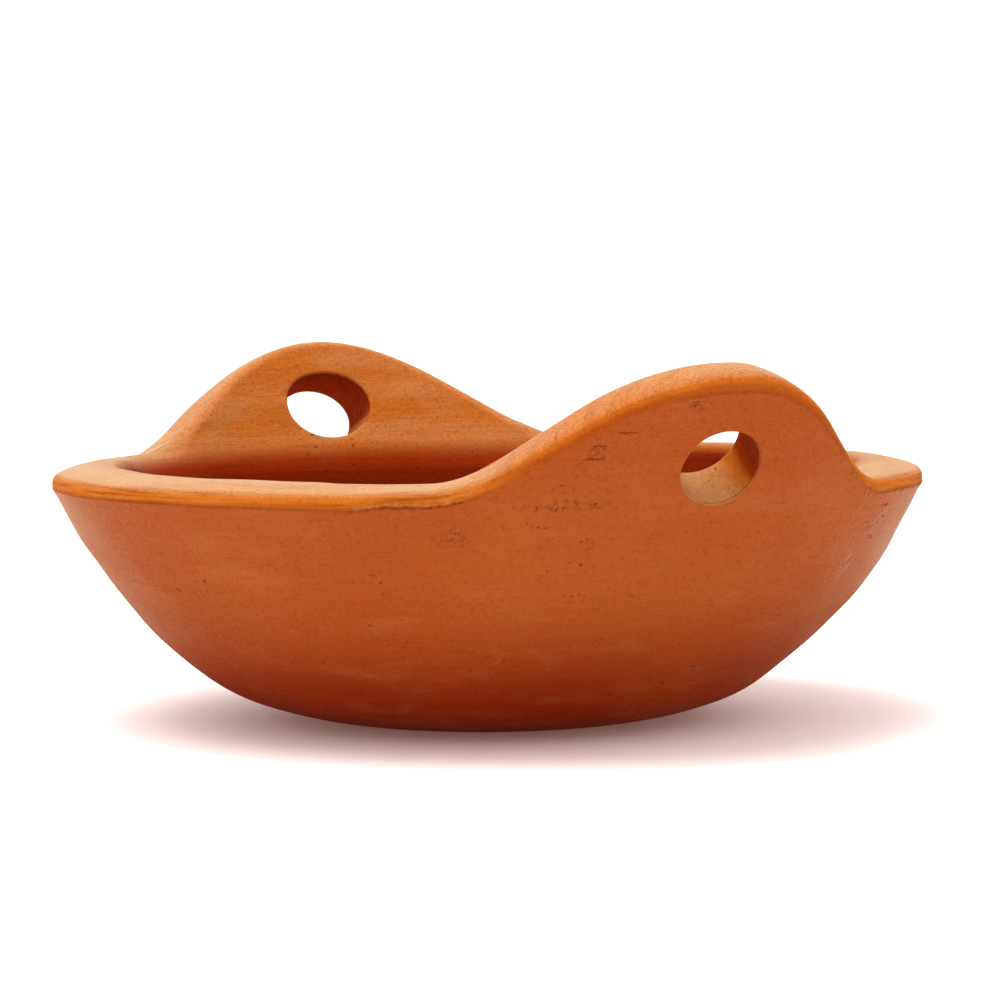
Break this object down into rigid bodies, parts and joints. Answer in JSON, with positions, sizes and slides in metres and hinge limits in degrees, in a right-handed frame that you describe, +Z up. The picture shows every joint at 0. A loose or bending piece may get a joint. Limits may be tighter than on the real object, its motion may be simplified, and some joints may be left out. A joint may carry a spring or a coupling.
{
  "type": "handled clay bowl",
  "caption": "Round-bottomed unglazed terracotta bowl with a thick bevelled rim and wave-shaped lug handles, each pierced by an oval finger hole.",
  "frame": {"origin": "centre of the flat that the bowl rests on, on the bowl's axis", "axes": "+Z up along the bowl's axis; the handles stand at -Y (front) and +Y (back), so the greatest width is along Y"},
  "size_m": [0.22, 0.2456, 0.0938],
  "materials": {
    "terracotta_wall": "matte",
    "terracotta_rim": "matte",
    "terracotta_handle": "matte",
    "terracotta_seam": "matte"
  },
  "bodies": {
    "root": {"bowl_shell": "terracotta_wall", "rim_band": "terracotta_rim", "front_handle": "terracotta_handle", "back_handle": "terracotta_handle", "front_seam_coil": "terracotta_seam", "back_seam_coil": "terracotta_seam"}
  },
  "joints": []
}
